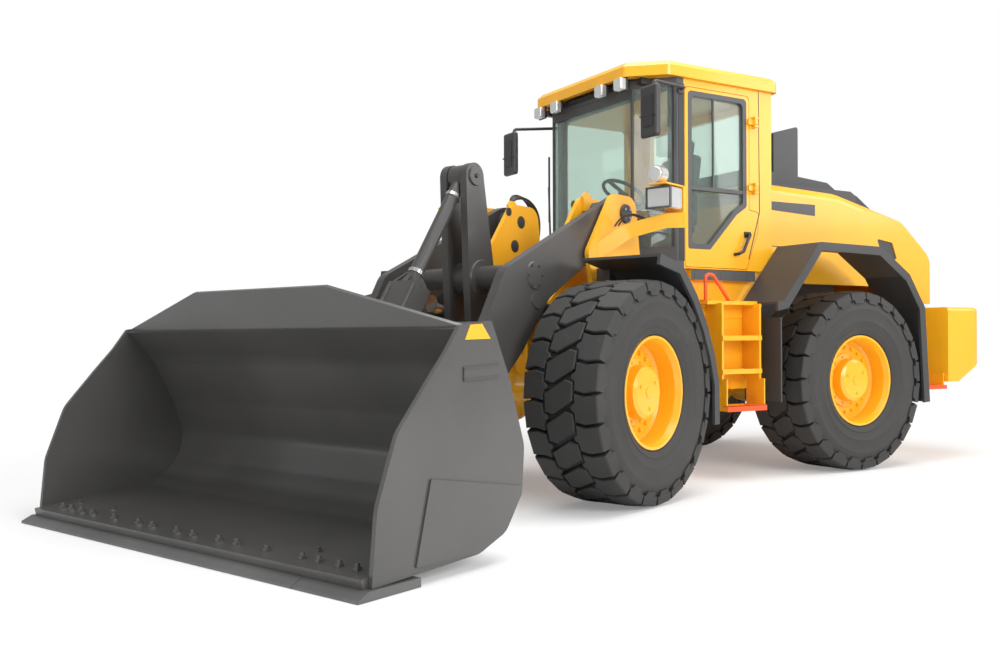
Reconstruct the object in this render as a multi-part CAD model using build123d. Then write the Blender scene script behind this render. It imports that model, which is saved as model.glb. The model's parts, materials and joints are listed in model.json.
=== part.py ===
from build123d import *
from math import atan2, cos, degrees, hypot, radians, sin
import os

# Articulated wheel loader, full size, in millimetres, +X towards the nose, +Y left, +Z up.
# The rear unit is drawn in the machine frame, whose origin is on the ground below the
# articulation hinge. The front unit is drawn straight ahead of that hinge and then turned
# by the steering angle at which the machine is parked. The whole is then shifted so that
# the origin lies on the ground below the middle of the parked machine.

os.makedirs("parts", exist_ok=True)

# Driving dimensions of the running gear
wheelbase = 3200.0
track = 2060.0
tyre_radius = 768.0
tyre_width = 595.0
bead_radius = 360.0
flange_radius = 385.0
rim_half_width = 257.0
steer_angle = 20.18
parked_middle = (595.0, 817.0)

# Clearances
pin_clearance = 0.05
running_gap = 5.0
seat_gap = 0.3

# Working arm pivots, front unit's frame, x and z
arm_pivot = (930.0, 2090.0)
crank_pivot = (2020.0, 1570.0)
crank_top = (2095.0, 2290.0)
crank_foot = (2050.0, 1150.0)
bucket_pivot = (3100.0, 360.0)
link_foot = (3125.0, 760.0)
lift_tail = (700.0, 1050.0)
lift_eye = (2000.0, 1400.0)
tilt_tail = (800.0, 1650.0)

# Plates of the working arm, distances from the middle plane
arm_inner = 525.0
arm_thick = 70.0
tower_inner = 320.0
tower_outer = 610.0
tower_plate = 35.0
crank_inner = 66.0
crank_plate = 59.0

# Pins
arm_pin = 50.0
bucket_pin = 45.0
link_pin_radius = 42.0
tilt_pin = 42.0
lift_pin = 42.0
cross_tube_radius = 84.0
bushing_radius = 96.0
crank_core_radius = 115.0
crank_hub_radius = 145.0
link_radius = 50.0
fork_inner = 87.0
fork_prong = 52.0

# Cylinders
lift_offset = 440.0
lift_barrel = 72.0
lift_rod = 40.0
tilt_barrel_radius = 85.0
tilt_rod_radius = 50.0
steer_barrel_radius = 44.0
steer_rod_radius = 25.0
steer_tail = (-620.0, 400.0)
steer_eye = (400.0, 400.0)
steer_height = 800.0
steer_reach = 660.0
steer_pin = 22.0
steer_rod_length = 660.0

# Bucket
bucket_width = 3000.0
bucket_plate = 25.0
edge_tip = 4520.0
edge_thick = 42.0
floor_clear = 2.0

# Frames and hinge
hinge_pin = 55.0
hinge_lug = 120.0
frame_half = 335.0
waist_half = 190.0
frame_plate = 35.0

# Cab
cab_half = 850.0
cab_wall = 55.0
cab_front = 310.0
cab_front_half = 570.0
cab_rear = -1000.0
cab_floor = 1700.0
roof_top = 3362.0
roof_thick = 122.0
cab_top = roof_top - roof_thick
glass_bottom = 1870.0
glass_top = cab_top - 70.0
glass_depth = 18.0
glass_thick = 10.0
door_thick = 45.0
door_hinge = (-785.0, cab_half + 30.0)
door_hinge_pin = 12.0
door_hinge_heights = (2400.0, cab_top - 280.0)

# Hood and counterweight
hood_front = -1030.0
hood_rear = -3470.0
hood_half = 725.0
hood_wall = 40.0
hood_round = 90.0
hood_hinge = (-3390.0, 1580.0)
fender_outer = 1335.0
fender_lip = 75.0
fender_sheet_thick = 20.0
ballast_front = -2920.0
ballast_rear = -3570.0
ballast_half = 1200.0
hitch_bore = 26.0

axle_height = tyre_radius
axle_top = 1040.0
front_axle_x = wheelbase / 2
rear_axle_x = -wheelbase / 2


def outline(points, radius=0.0):
    """A flat face with the given corners, each rounded by the radius, or by its own radius."""
    if not radius:
        return make_face(Polyline(*points, close=True))
    return make_face(FilletPolyline(*points, radius=radius, close=True))


def side_plate(face, low, high):
    """A plate whose face lies in x and z, from y = low to y = high."""
    return extrude(Plane.XZ.offset(-low) * face, high - low, dir=(0, 1, 0))


def flat_plate(face, low, high):
    """A plate whose face lies in x and y, from z = low to z = high."""
    return extrude(Pos(0, 0, low) * face, high - low, dir=(0, 0, 1))


def cross_plate(face, low, high):
    """A plate whose face lies in y and z, from x = low to x = high."""
    return extrude(Plane.YZ.offset(low) * face, high - low, dir=(1, 0, 0))


def block(x, y, z):
    """A box from three pairs of limits."""
    size = (x[1] - x[0], y[1] - y[0], z[1] - z[0])
    return Pos((x[0] + x[1]) / 2, (y[0] + y[1]) / 2, (z[0] + z[1]) / 2) * Box(*size)


def rod_y(centre, radius, low, high):
    """A round bar along y at the point (x, z)."""
    place = Pos(centre[0], (low + high) / 2, centre[1]) * Rot(90, 0, 0)
    return place * Cylinder(radius, high - low)


def rod_z(x, y, radius, low, high):
    """A round bar along z."""
    return Pos(x, y, (low + high) / 2) * Cylinder(radius, high - low)


def rod_between(start, end, radius):
    """A round bar from one point in space to another."""
    a = Vector(*start)
    b = Vector(*end)
    return Plane(origin=a, z_dir=b - a) * Cylinder(
        radius, (b - a).length, align=(Align.CENTER, Align.CENTER, Align.MIN)
    )


def tube_path(points, radius, bend):
    """A bent round tube along straight runs with one bend radius."""
    path = FilletPolyline(*points, radius=bend)
    start = Plane(origin=path @ 0, z_dir=path % 0)
    return sweep(start * Circle(radius), path)


def mirrored(shape):
    return mirror(shape, Plane.XZ)


def fuse_all(shapes):
    result = shapes[0]
    for shape in shapes[1:]:
        result += shape
    return result


def fender_sheet(line, thick, low, high, bend):
    """A bent sheet of the given thickness on the wheel's side of a line of points in x and z."""
    inner = []
    for i, point in enumerate(line):
        before = line[max(i - 1, 0)]
        after = line[min(i + 1, len(line) - 1)]
        dx = after[0] - before[0]
        dz = after[1] - before[1]
        length = hypot(dx, dz)
        inner.append((point[0] - dz / length * thick, point[1] + dx / length * thick))
    bends = [0] + [bend] * (len(line) - 2) + [0]
    inside = [max(value - thick, 0) for value in bends]
    return side_plate(outline([*line, *reversed(inner)], bends + inside), low, high)


def both_sides(shape):
    """The shape and its mirror image across the middle plane, as separate solids."""
    return Compound([*shape.solids(), *mirrored(shape).solids()])


def along(start, end, distance):
    """The point at a distance along the line from start to end, in the plane."""
    length = hypot(end[0] - start[0], end[1] - start[1])
    share = distance / length
    return (start[0] + (end[0] - start[0]) * share, start[1] + (end[1] - start[1]) * share)


def spaced(start, end):
    return hypot(end[0] - start[0], end[1] - start[1])


# Wheels, drawn about the Y axis with the outer side towards +Y


def tyre():
    inside = bead_radius + seat_gap
    bead = rim_half_width - 16.0 - seat_gap
    shoulder = tyre_width / 2 - 36.0
    half = tyre_width / 2
    lip = flange_radius + 6.0
    side = Polyline((inside, 0), (inside, bead), (lip, bead), (lip, bead + 8))
    wall = ThreePointArc((lip, bead + 8), (560.0, half), (tyre_radius - 50, half - 22))
    edge = Line((tyre_radius - 50, half - 22), (tyre_radius - 18, shoulder))
    crown = ThreePointArc((tyre_radius - 18, shoulder), (tyre_radius - 5, shoulder / 2), (tyre_radius, 0))
    half_face = make_face(side + wall + edge + crown + Line((tyre_radius, 0), (inside, 0)))
    half_tyre = revolve(half_face, Axis.Y)
    return half_tyre + mirrored(half_tyre)


def wheel_rim():
    back = -rim_half_width
    front = rim_half_width
    profile = [
        (60.05, 90), (60.05, 10), (150, 10), (205, 32), (318, 50), (334, 30), (338, back + 30),
        (356, back), (flange_radius, back), (flange_radius, back + 16), (bead_radius, back + 16),
        (bead_radius, front - 16), (flange_radius, front - 16), (flange_radius, front),
        (366, front), (348, front - 42), (342, 98), (324, 80), (228, 80), (228, 104),
        (186, 112), (178, 190), (152, 206), (0, 212), (0, 90),
    ]
    return revolve(make_face(Polyline(*profile, close=True)), Axis.Y)


def placed_wheel(shape, x, side):
    piece = shape if side > 0 else mirrored(shape)
    return Pos(x, side * track / 2, axle_height) * piece


def axle(x):
    """A rigid axle: tapered housings, a round bowl, hub carriers and spindles."""
    end = track / 2
    half = [
        (250, 0), (240, 110), (170, 220), (135, 330), (130, 560), (185, 640), (245, 700),
        (250, end - 60), (225, end - 20), (145, end + 4), (60, end + 4), (60, end + 84), (0, end + 84),
    ]
    whole = half + [(r, -y) for r, y in reversed(half[1:])]
    housing = Pos(x, 0, axle_height) * revolve(make_face(Polyline(*whole, close=True)), Axis.Y)
    nose = Pos(x + 200, 0, axle_height) * Rot(0, 90, 0) * Cylinder(105, 260)
    pads = block((x - 120, x + 120), (190, 300), (axle_height, axle_top))
    return housing + nose + pads + mirrored(pads)


# Rear unit


def rear_frame():
    top = 1399.7
    side = outline([
        (-660, 500), (-660, top), (-940, top), (-1040, 1150), (ballast_front, 1150),
        (ballast_front, 760), (-2200, 760), (-2060, 1060), (-1150, 1060), (-1040, 640), (-900, 500),
    ])
    plate = side_plate(side, frame_half - frame_plate, frame_half)
    half = frame_half - frame_plate
    waist = side_plate(outline([(-690, 500), (-690, top), (-165, top), (-165, 500)]), waist_half - frame_plate, waist_half)
    nose = block((-200, -165), (-waist_half, waist_half), (500, top))
    step = block((-695, -660), (-frame_half, frame_half), (500, top))
    deck = block((-2500, -1100), (-half, half), (1110, 1150))
    saddle = block((rear_axle_x - 160, rear_axle_x + 160), (-half, half), (axle_top + seat_gap, 1110))
    tail = block((ballast_front, ballast_front + 40), (-half, half), (760, 1150))
    result = plate + mirrored(plate) + waist + mirrored(waist) + nose + step + deck + saddle + tail
    for low, high in ((500, 545), (620, 665), (1150, 1195), (1265, 1310)):
        lug = outline([(-170, -waist_half), (-170, waist_half), (0, hinge_lug), (0, -hinge_lug)])
        result += flat_plate(lug, low, high) + flat_plate(Circle(hinge_lug), low, high)
    for low, high in ((480, 690), (1130, 1335)):
        result += rod_z(0, 0, hinge_pin, low, high)
    x, y = steer_tail
    for low in (steer_height - 84, steer_height + 56):
        ear = flat_plate(Pos(x, y) * Circle(55), low, low + 28)
        ear += block((-695, x), (frame_half - 5, y), (low, low + 28))
        result += ear + mirrored(ear)
    pin = rod_z(x, y, steer_pin, steer_height - 90, steer_height + 90)
    result += pin + mirrored(pin)
    return result


def cab_plan(inset=0.0):
    nose = cab_front - inset
    half = cab_half - inset
    narrow = cab_front_half - inset * 0.45
    back = cab_rear + inset
    return outline([
        (nose, narrow), (60 - inset * 0.4, half), (back, half), (back, -half),
        (60 - inset * 0.4, -half), (nose, -narrow),
    ])


def cab_housing():
    """The hollow housing with its floor and pillars; windows, doorway and front are open."""
    shell = flat_plate(cab_plan(), cab_floor, cab_top)
    shell -= flat_plate(cab_plan(cab_wall), cab_floor + 60, cab_top - 60)
    shell -= block((75, 600), (-cab_half, cab_half), (glass_bottom, glass_top))
    opening = side_plate(door_outline(-running_gap), cab_half - cab_wall, cab_half + 150)
    shell -= opening + mirrored(opening)
    return shell - block((cab_rear - 50, cab_rear + 100), (-700, 700), (2330, cab_top - 120))


def cab_shell():
    """The rear part of the housing, with the two hinge brackets of the door."""
    shell = cab_housing() & block((cab_rear - 10, -10), (-cab_half - 50, cab_half + 50), (1600, cab_top + 50))
    x, y = door_hinge
    for height in door_hinge_heights:
        for low in (height - 45, height + 25):
            shell += block((x - 20, x + 20), (cab_half - 5, y + 15), (low, low + 20))
        shell += rod_z(x, y, door_hinge_pin, height - 46, height + 46)
    return shell


def cab_front_frame():
    """The front part of the housing: the two front pillars, the sill and the header."""
    return cab_housing() & block((-10 + seat_gap, 400), (-cab_half - 50, cab_half + 50), (1600, cab_top + 50))


def cab_roof():
    plan = outline([
        (cab_front + 120, cab_front_half + 70), (170, cab_half + 35), (cab_rear - 60, cab_half + 35),
        (cab_rear - 60, -cab_half - 35), (170, -cab_half - 35), (cab_front + 120, -cab_front_half - 70),
    ], 60)
    slab = flat_plate(plan, cab_top, roof_top)
    slab = chamfer(slab.faces().sort_by(Axis.Z)[-1].edges(), 40)
    return slab - flat_plate(outline([(380, 560), (120, 780), (120, -780), (380, -560)], 30), cab_top - 1, cab_top + 40)


def cab_glass():
    """The wrap-round windscreen, the rear window and the right-hand window."""
    band = flat_plate(cab_plan(glass_depth), glass_bottom + seat_gap, glass_top - seat_gap)
    band -= flat_plate(cab_plan(glass_depth + glass_thick), glass_bottom, glass_top)
    screen = band & block((75 + seat_gap, 600), (-cab_half - 50, cab_half + 50), (1800, cab_top + 50))
    back = block((cab_rear + 12, cab_rear + 22), (-699.7, 699.7), (2330.6, cab_top - 120))
    side = side_plate(door_outline(seat_gap - running_gap), -cab_half + 15, -cab_half + 25)
    return Compound([*screen.solids(), *back.solids(), *side.solids()])


def cab_base():
    """The body under the cab with the sill below the door."""
    body = block((-960, 0), (-cab_half + 40, cab_half - 40), (1400, cab_floor))
    body = chamfer(body.edges().filter_by(Axis.Z), 40)
    sill = block((-790, -70), (cab_half - 50, cab_half + 12), (1610, 1692))
    return body + sill + mirrored(sill)


def engine_block():
    return block((-2450, -1350), (-290, 290), (1150, 1950))


def counterweight():
    """The cast weight at the tail with the towing slot and the bore of the towing pin."""
    half = ballast_half
    plan = outline([
        (ballast_front, half), (ballast_rear + 170, half), (ballast_rear, half - 260),
        (ballast_rear, -half + 260), (ballast_rear + 170, -half), (ballast_front, -half),
    ], [0, 160, 160, 160, 160, 0])
    body = flat_plate(plan, 720, 1415)
    body = fillet(body.faces().sort_by(Axis.Z)[-1].edges().filter_by(lambda e: e.center().X < ballast_front - 10), 35)
    wedge = outline([(ballast_front - 120, 700), (ballast_rear - 50, 1010), (ballast_rear - 50, 700)])
    body -= side_plate(wedge, -half - 10, half + 10)
    body -= block((ballast_rear - 10, -3340), (-130, 130), (1085, 1185))
    body -= rod_z(-3470, 0, hitch_bore, 900, 1290)
    rest = block((-3000, -2940), (642, 674), (1400, 1470 - seat_gap))
    body += rest + mirrored(rest)
    return body - block((-3560, -3380), (-90, 90), (1290, 1450))


def hood_form(inset, bottom):
    """The hood's outer form, or the space inside it when inset by the wall."""
    half = hood_half - inset
    rear = hood_rear + inset
    front = hood_front + (50 if inset else 0)
    past = 100.0
    foot = bottom if inset else 1470
    side = outline([
        (front, bottom), (front, 2500 - inset), (-2000, 2470 - inset), (-2950, 2270 - inset),
        (-3390, 1960 - inset), (rear - past, 1660), (rear - past, foot), (-2640, foot), (-2480, bottom),
    ], [0, 0, 500, 300, 200, 0, 0, 0, 0])
    plan = outline([
        (front + past, half + past), (-2000, half + past), (-2300, half), (rear, half - 80),
        (rear, -half + 80), (-2300, -half), (-2000, -half - past), (front + past, -half - past),
    ], [0, 0, 0, 60, 60, 0, 0, 0])
    body = side_plate(side, -half, half)
    shoulder = body.edges().filter_by(lambda e: abs(e.center().Y) > half - 1 and e.center().Z > 1750)
    shoulder = shoulder.filter_by(lambda e: abs(e.bounding_box().size.X) > 5)
    return fillet(shoulder, hood_round - inset) & flat_plate(plan, 1300, 2600)


def vent_outline(inset=0.0):
    return outline([
        (-2545 - inset, 2078 - inset), (-2600 - inset, 1990 + inset), (-2890 + inset, 1868 + inset),
        (-2800 + inset, 2050 - inset),
    ], 20)


def engine_hood():
    """The one-piece hood, open below and at its front, with a vent cut in each side."""
    vent = side_plate(vent_outline(), 500, 900)
    return hood_form(0.0, 1620) - hood_form(hood_wall, 1400) - vent - mirrored(vent)


def hood_deck():
    """The raised dark deck on the hood and the tall intake that stands on it."""
    side = outline([
        (-1060, 2440), (-1060, 2650), (-1500, 2668), (-2200, 2620), (-2420, 2500), (-2840, 2380), (-2840, 2200),
    ], [0, 20, 200, 40, 40, 10, 0])
    plan = outline([(-1050, 560), (-2450, 560), (-2850, 430), (-2850, -430), (-2450, -560), (-1050, -560)], 40)
    deck = side_plate(side, -600, 600) & flat_plate(plan, 2100, 2800)
    deck -= hood_form(0.0, 1620)
    for side_sign in (1, -1):
        low, high = sorted((side_sign * 420, side_sign * 700))
        deck -= block((-2700, -1000), (low, high), (2530, 2800))
    stack_side = outline([(-1480, 2600), (-1480, 3030), (-1800, 3118), (-1800, 2600)], [0, 25, 25, 0])
    deck += side_plate(stack_side, 180, 420)
    return Pos(0, 0, seat_gap) * deck


def rear_grille():
    """The louvred panel in the hood's tail and the mesh plates in its two vents."""
    panel = block((-3490, hood_rear - seat_gap), (-450, 450), (1520, 1800))
    for step in range(6):
        z = 1555 + step * 40
        panel -= block((-3500, -3478), (-420, 420), (z, z + 22))
    mesh = hood_form(10, 1620) - hood_form(22, 1400)
    mesh &= side_plate(vent_outline(seat_gap), 500, 900)
    return Compound([*panel.solids(), *mesh.solids(), *mirrored(mesh).solids()])


def rear_fenders():
    """Bent sheets over the rear tyres with a deep outer lip, a front flap and a stay."""
    x = rear_axle_x
    line = [
        (-560, 1425), (-625, 1425), (x + 550, 1922), (x - 210, 1915), (x - 590, 1690), (x - 800, 1400), (x - 862, 560),
    ]
    sheet = fender_sheet(line, fender_sheet_thick, 870, fender_outer, 30)
    sheet += fender_sheet(line, fender_lip, fender_outer - 23, fender_outer, 30)
    flap = block((-640, -625), (900, 1300), (620, 1300))
    stay = rod_y((x - 815, 1000), 12, frame_half + seat_gap, 880)
    return both_sides(sheet + flap + stay)


def side_boxes():
    """The tank and battery boxes beside the frame, each with a lid's seam round it."""
    box = block((-624.7, -20), (640, 1000), (720, 1399.7))
    box = fillet(box.edges().filter_by(Axis.Z), 20)
    seam = block((-700, 20), (600, 1020), (1290, 1296)) - block((-616, -28), (640, 992), (1280, 1300))
    return both_sides(box - seam)


def access_steps():
    """A ladder on each side: two stiles, three rungs and the landing at its top."""
    parts = block((-540, 0), (cab_half - 40 + seat_gap, 1130), (1400, 1430))
    for x in (-520, -115):
        stile = outline([(x, 1410), (x, 800), (x + 20, 800), (x + 20, 1410)])
        parts += side_plate(stile, 1000.3, 1190)
        parts += block((x + 4, x + 16), (1040, 1235), (560, 810))
    for height in (560, 850, 1115):
        reach = 1245 if height < 600 else 1200
        tread = block((-520, -95), (1010, reach), (height, height + 38))
        tread -= block((-480, -135), (1040, reach - 40), (height + 12, height + 50))
        parts += tread
    return both_sides(parts)


def operator_seat():
    """The driver's seat: pedestal, cushion, backrest, headrest and two armrests."""
    seat = block((-600, -270), (-170, 170), (1760.6, 2080))
    seat += fillet(block((-690, -190), (-250, 250), (2070, 2200)).edges(), 40)
    back = Pos(-690, 0, 2470) * Rot(0, -8, 0) * Box(110, 470, 640)
    seat += fillet(back.edges(), 40)
    seat += fillet((Pos(-745, 0, 2850) * Rot(0, -8, 0) * Box(90, 260, 180)).edges(), 35)
    seat += Pos(-730, 0, 2770) * Box(30, 120, 120)
    for y in (-310, 310):
        low, high = sorted((y, y * 0.74))
        seat += block((-640, -250), (low, high), (2330, 2390))
        seat += block((-640, -590), (low, high), (2140, 2390))
        inner, outer = sorted((y * 0.74, y * 0.85))
        seat += block((-640, -590), sorted((y * 0.7, y * 0.9)), (2120, 2170))
    return seat


def steering_column():
    column = rod_z(60, 0, 90, 1760.6, 1800) + rod_between((60, 0, 1780), (-60, 0, 2420), 45)
    top = Plane(origin=(-60, 0, 2420), z_dir=(-0.5, 0, 0.86))
    console = Pos(40, 0, 2200) * Rot(0, 20, 0) * Box(160, 300, 220)
    return column + top * Torus(190, 16) + top * Box(380, 40, 16) + fillet(console.edges(), 30)


def handrails():
    """The grab loops that stand on the landings."""
    rail = tube_path([(-45, 1060, 1430.6), (-45, 1060, 1640), (-120, 1060, 1640), (-300, 1060, 1430.6)], 14, 35)
    rail += block((-75, -15), (1030, 1090), (1430.3, 1438))
    rail += block((-330, -270), (1030, 1090), (1430.3, 1438))
    return both_sides(rail - block((-400, 100), (900, 1200), (1380, 1430.3)))


def mirrors():
    """Rear-view mirrors on bent arms that start at plates beside the front pillars."""
    plate = block((-5, 55), (cab_half + seat_gap, cab_half + 14), (3110, 3190))
    arm = tube_path([(25, cab_half + 10, 3150), (25, cab_half + 50, 3150), (440, 1030, 3120), (440, 1030, 2960)], 14, 30)
    head = fillet(block((452, 505), (925, 1125), (2680, 3080)).edges(), 22)
    return both_sides(plate + arm + head + block((435, 460), (1010, 1050), (2960, 3010)))


def work_lamps():
    """Four lamps under the roof's front edge and two under its rear corners."""
    lamps = []
    for y in (330, 590):
        lamps.append(fillet(block((405, 465), (y - 50, y + 50), (cab_top - 100, cab_top - 5)).edges(), 12))
        lamps.append(block((415, 425), (y - 12, y + 12), (cab_top - 15, cab_top + 0.3)))
    front = fuse_all(lamps)
    rear_lamp = fillet(block((-1055, -1003), (700, 800), (cab_top - 100, cab_top - 10)).edges(), 12)
    rear_lamp += block((-1040, -1025), (735, 765), (cab_top - 20, cab_top + 0.3))
    return Compound([*both_sides(front).solids(), *both_sides(rear_lamp).solids()])


def beacon():
    return rod_z(-700, 300, 55, roof_top + 0.9, roof_top + 70)


def door_outline(inset=0.0):
    """The door's outline, or a line that far inside it."""
    return outline([
        (-25 - inset, 1715 + inset), (-25 - inset, cab_top - 65 - inset), (-735 + inset, cab_top - 65 - inset),
        (-735 + inset, 2215 - inset), (-838 + inset, 2200 - inset), (-838 + inset, 2050 + inset * 0.2),
        (-705 + inset * 0.7, 1715 + inset),
    ], [20, 40, 40, 10, 20, 20, 20])


def door_frame_outline(inset=0.0):
    """The outline of the window's own frame in the door."""
    return outline([
        (-55 - inset, 1862 + inset), (-55 - inset, cab_top - 90 - inset), (-708 + inset, cab_top - 90 - inset),
        (-708 + inset, 2240 + inset * 0.6), (-590 + inset * 0.6, 2165 + inset * 0.8), (-295 + inset * 0.4, 1862 + inset),
    ], [20, 40, 40, 40, 60, 20])


def cab_door():
    """The door's leaf with its two hinge knuckles, open where the window's frame sits."""
    inner = cab_half - door_thick
    leaf = side_plate(door_outline(), inner, cab_half) - side_plate(door_frame_outline(-seat_gap), inner - 100, cab_half + 50)
    x, y = door_hinge
    for height in door_hinge_heights:
        low, high = height - 22, height + 22
        knuckle = rod_z(x, y, 22, low, high) + block((x, -715), (cab_half + 7, cab_half + 22), (low, high))
        knuckle += block((-733, -715), (cab_half - 10, cab_half + 22), (low, high))
        leaf += knuckle - rod_z(x, y, door_hinge_pin + pin_clearance, low - 1, high + 1)
    return leaf


def door_frame():
    """The window's frame in the door with its rail and upright."""
    inner = cab_half - door_thick
    frame = side_plate(door_frame_outline(), inner, cab_half) - side_plate(door_frame_outline(42), inner - 100, cab_half + 50)
    frame += block((-680, -90), (cab_half - 18, cab_half - 4), (2345, 2375))
    return frame + block((-345, -330), (cab_half - 18, cab_half - 4), (2360, cab_top - 120))


def door_glass():
    return side_plate(door_frame_outline(42 + seat_gap), cab_half - 35, cab_half - 25)


# Front unit, drawn straight ahead of the hinge


def front_frame():
    half = tower_inner - seat_gap
    low, high = axle_top + seat_gap, axle_top + 45
    back = block((170, 215), (-waist_half, waist_half), (480, 1500))
    waist = block((200, 560), (waist_half - frame_plate, waist_half), (480, 1500))
    step = block((520, 560), (-half, half), (480, 1500))
    belly = block((540, 1790), (-half, half), (low, high))
    cheek = side_plate(outline([(540, 480), (540, high), (1300, high), (1180, 640), (760, 480)]), half - 40, half)
    result = back + belly + step
    for piece in (waist, cheek):
        result += piece + mirrored(piece)
    for low, high in ((550, 615), (1200, 1260)):
        lug = outline([(175, -waist_half), (175, waist_half), (0, hinge_lug), (0, -hinge_lug)])
        ear = flat_plate(lug, low, high) + flat_plate(Circle(hinge_lug), low, high)
        result += ear - rod_z(0, 0, hinge_pin + pin_clearance, low - 1, high + 1)
    x, y = steer_eye
    for low in (steer_height - 84, steer_height + 56):
        ear = flat_plate(Pos(x, y) * Circle(55), low, low + 28)
        ear += block((x, 540), (half - 60, y + 55), (low, low + 28))
        result += ear + mirrored(ear)
    return result


def tower_side():
    return outline([
        (540, 965), (540, 1480), (690, 1640), (760, 2230), (1110, 2230), (1450, 1770), (1400, 1500),
        (1790, 1230), (1790, 965),
    ], [0, 60, 120, 120, 120, 80, 120, 60, 0])


def arm_towers():
    """Each tower is two upright plates that carry the arm's pin and the lift cylinder's tail."""
    inner = side_plate(tower_side(), tower_inner, tower_inner + tower_plate)
    outer_face = outline([
        (640, 960), (640, 1560), (700, 1700), (780, 2230), (1110, 2230), (1440, 1770), (1380, 1500), (1000, 1000), (900, 960),
    ], [60, 60, 60, 120, 120, 80, 120, 60, 30])
    outer = side_plate(outer_face, tower_outer, tower_outer + tower_plate)
    pin = rod_y(arm_pivot, arm_pin, tower_inner + 5, tower_outer + tower_plate + 12)
    tail_pin = rod_y(lift_tail, lift_pin, tower_inner + 5, tower_outer + tower_plate + 12)
    side = inner + outer + pin + tail_pin
    return both_sides(side)


def front_fenders():
    """Bent sheets over the rear half of the front tyres, held by stays from the towers."""
    x = front_axle_x
    line = [
        (x, 1705), (x - 300, 1650), (x - 520, 1440), (x - 674, 1230), (x - 790, 1010), (x - 858, 800), (x - 862, 500),
    ]
    sheet = fender_sheet(line, fender_sheet_thick, 700, fender_outer, 120)
    sheet += fender_sheet(line, fender_lip, fender_outer - 23, fender_outer, 120)
    stay = block((x - 350, x - 270), (tower_outer + tower_plate + seat_gap, 760), (1560, 1650))
    return both_sides(sheet + stay)


def lamp_brackets():
    """Curved arms that reach out from the towers to the headlamps, with a post at their end."""
    path = FilletPolyline((1350, 600, 1740), (1130, 790, 1930), (950, 1010, 2010), (850, 1130, 2012), radius=120)
    start = Plane(origin=path @ 0, x_dir=(0, 0, 1), z_dir=path % 0)
    arm = sweep(start * Rectangle(110, 26), path)
    arm -= block((600, 1600), (0, tower_outer + tower_plate + seat_gap), (1400, 2300))
    post = block((850, 880), (960, 1120), (1985, 2260)) + block((860, 1130), (965, 1115), (2255, 2267))
    return both_sides(arm + post)


def headlamps():
    """A large rectangular lamp and a smaller round one above it on each side."""
    big = fillet(block((900, 1090), (925, 1125), (2085, 2245)).edges(), 22)
    big += block((880.3, 905), (1000, 1050), (2130, 2200))
    small = Pos(1060, 1010, 2340) * Rot(0, 90, 0) * Cylinder(62, 90)
    small += block((1030, 1060), (995, 1025), (2267.3, 2300))
    return Compound([*both_sides(big).solids(), *both_sides(small).solids()])


def arm_outline():
    return outline([
        (870, 2225), (1000, 2222), (2340, 1600), (2530, 1270), (3205, 450), (2995, 270), (2150, 1060),
        (1850, 1420), (1400, 1670), (860, 1945),
    ], [5, 60, 150, 300, 5, 5, 250, 200, 200, 5])


def lift_arm():
    low = arm_inner
    high = arm_inner + arm_thick
    arm = side_plate(arm_outline(), low, high)
    arm += rod_y(arm_pivot, 148, low, high) + rod_y(bucket_pivot, 135, low, high)
    arm += rod_y(arm_pivot, 110, tower_inner + tower_plate + running_gap, tower_outer - running_gap)
    arm -= rod_y(arm_pivot, arm_pin + pin_clearance, 300, 700)
    arm -= rod_y(bucket_pivot, bucket_pin + pin_clearance, 300, 700)
    arm -= rod_y(crank_pivot, cross_tube_radius, 300, 700)
    arm += rod_y(lift_eye, 62, lift_offset + 60, low)
    return arm


def arm_cross_tube():
    return rod_y(crank_pivot, cross_tube_radius, -arm_inner - arm_thick, arm_inner + arm_thick)


def crank_bushing():
    ring = rod_y(crank_pivot, bushing_radius, -crank_inner - crank_plate - 8, crank_inner + crank_plate + 8)
    return ring - rod_y(crank_pivot, cross_tube_radius + pin_clearance, -400, 400)


def tilt_lever():
    side = outline([
        (crank_top[0] - 95, crank_top[1]), (crank_top[0] + 95, crank_top[1]),
        (crank_pivot[0] + 145, crank_pivot[1]), (crank_foot[0] + 85, crank_foot[1]),
        (crank_foot[0] - 85, crank_foot[1]), (crank_pivot[0] - 145, crank_pivot[1]),
    ])
    plate = side_plate(side, crank_inner, crank_inner + crank_plate)
    for centre, radius in ((crank_top, 95), (crank_pivot, crank_hub_radius), (crank_foot, 85)):
        plate += rod_y(centre, radius, crank_inner, crank_inner + crank_plate)
    lever = plate + mirrored(plate) + rod_y(crank_pivot, crank_core_radius, -crank_inner, crank_inner)
    lever -= rod_y(crank_pivot, bushing_radius + pin_clearance, -400, 400)
    lever -= rod_y(crank_top, link_pin_radius + pin_clearance, -400, 400)
    for side in (1, -1):
        cap = rod_y(crank_foot, 60, crank_inner + crank_plate, crank_inner + crank_plate + 14)
        lever += cap if side > 0 else mirrored(cap)
    return lever


def tilt_tail_pin():
    """The cross pin that carries the tilt cylinder's tail between the towers."""
    half = tower_inner - seat_gap
    return rod_y(tilt_tail, tilt_pin, -half, half)


def link_pin():
    half = crank_inner + crank_plate + 10
    return rod_y(crank_top, link_pin_radius, -half, half)


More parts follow.
